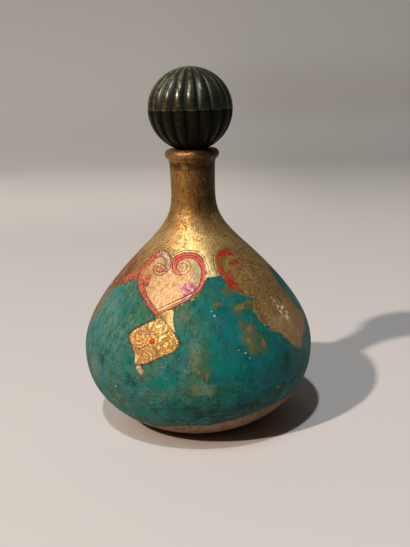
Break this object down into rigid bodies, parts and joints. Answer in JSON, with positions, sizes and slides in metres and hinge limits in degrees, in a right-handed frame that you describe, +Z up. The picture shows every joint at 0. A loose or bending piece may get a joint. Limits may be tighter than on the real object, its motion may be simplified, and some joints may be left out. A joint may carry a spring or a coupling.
{
  "type": "stoppered baluster vase",
  "caption": "Turned wooden baluster vase with a bulbous body, slim neck, rolled lip and lift-out gadrooned ball stopper, gilded and painted.",
  "frame": {"origin": "centre of the flat base, on the surface the vase stands on", "axes": "+Z up along the vase's turning axis, -Y towards the viewer of the picture"},
  "size_m": [0.1908, 0.1908, 0.2912],
  "materials": {
    "teal_painted_wood": "aged teal paint over gesso, satin, crackled, bare tan at the base",
    "gilded_painted_wood": "crackled yellow gilding over gesso with painted red scrolls",
    "antique_gilded_wood": "rubbed antique gilding with brown streaks, satin",
    "dark_green_moulding": "very dark green, glossy, rubbed to brown at the seam",
    "bare_wood": "plain turned wood",
    "cork": "natural cork, matt"
  },
  "bodies": {
    "vase": {"lower_bowl": "teal_painted_wood", "shoulder": "gilded_painted_wood", "neck": "antique_gilded_wood"},
    "stopper": {"stopper_lower_half": "dark_green_moulding", "stopper_upper_half": "dark_green_moulding", "stopper_peg": "bare_wood", "stopper_cork": "cork"}
  },
  "joints": [
    {"name": "stopper_lift", "type": "slide", "parent": "vase", "child": "stopper", "axis": [0, 0, 1], "range_m": [0, 0.06]}
  ]
}
